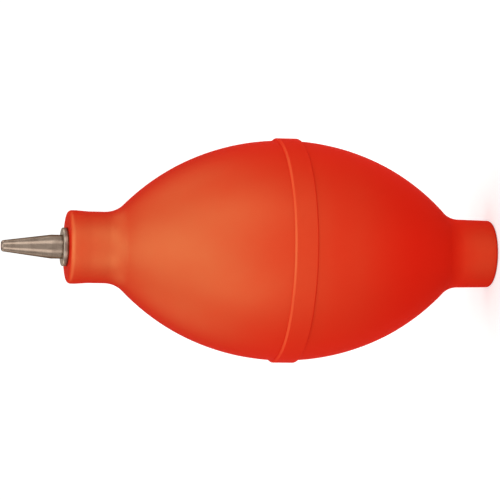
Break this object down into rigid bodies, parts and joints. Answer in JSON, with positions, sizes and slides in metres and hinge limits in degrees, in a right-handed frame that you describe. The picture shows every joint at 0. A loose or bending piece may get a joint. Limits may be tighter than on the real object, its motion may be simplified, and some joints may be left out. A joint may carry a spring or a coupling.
{
  "type": "dust blower bulb",
  "caption": "Rubber dust blower bulb with a raised middle band, a tapered metal nozzle in its front neck and a ball inlet valve in its tail; stands on the tail and is squeezed by hand.",
  "frame": {"origin": "centre of the tail neck's flat end face, on which the bulb stands", "axes": "+Z along the bulb's axis from the tail to the nozzle; +X towards the side that the thumb presses in"},
  "size_m": [0.0494, 0.0494, 0.1095],
  "materials": {
    "bulb_rubber": "matt moulded rubber, orange red",
    "nickel_plate": "dull nickel plate on turned brass",
    "ball_steel": "polished bearing steel",
    "sheet_steel": "punched stainless sheet",
    "spring_steel": "bright spring steel",
    "gauze": "fine stainless wire gauze"
  },
  "bodies": {
    "bulb": {"front_half_shell": "bulb_rubber", "rear_half_shell": "bulb_rubber", "seam_band": "bulb_rubber", "neck_ferrule": "nickel_plate", "nozzle_tube": "nickel_plate", "inlet_valve_body": "nickel_plate", "ball_guard": "sheet_steel", "guard_ring": "spring_steel", "inlet_screen": "gauze", "screen_ring": "spring_steel"},
    "thumb_wall": {"front_thumb_wall": "bulb_rubber", "rear_thumb_wall": "bulb_rubber", "band_thumb_arc": "bulb_rubber"},
    "valve_ball": {"valve_ball": "ball_steel"}
  },
  "joints": [
    {"name": "squeeze", "type": "slide", "parent": "bulb", "child": "thumb_wall", "axis": [-1, 0, 0], "range_m": [0, 0.01], "stiffness_N_per_m": 2400},
    {"name": "ball_lift", "type": "slide", "parent": "bulb", "child": "valve_ball", "axis": [0, 0, 1], "range_m": [0, 0.0015]}
  ]
}
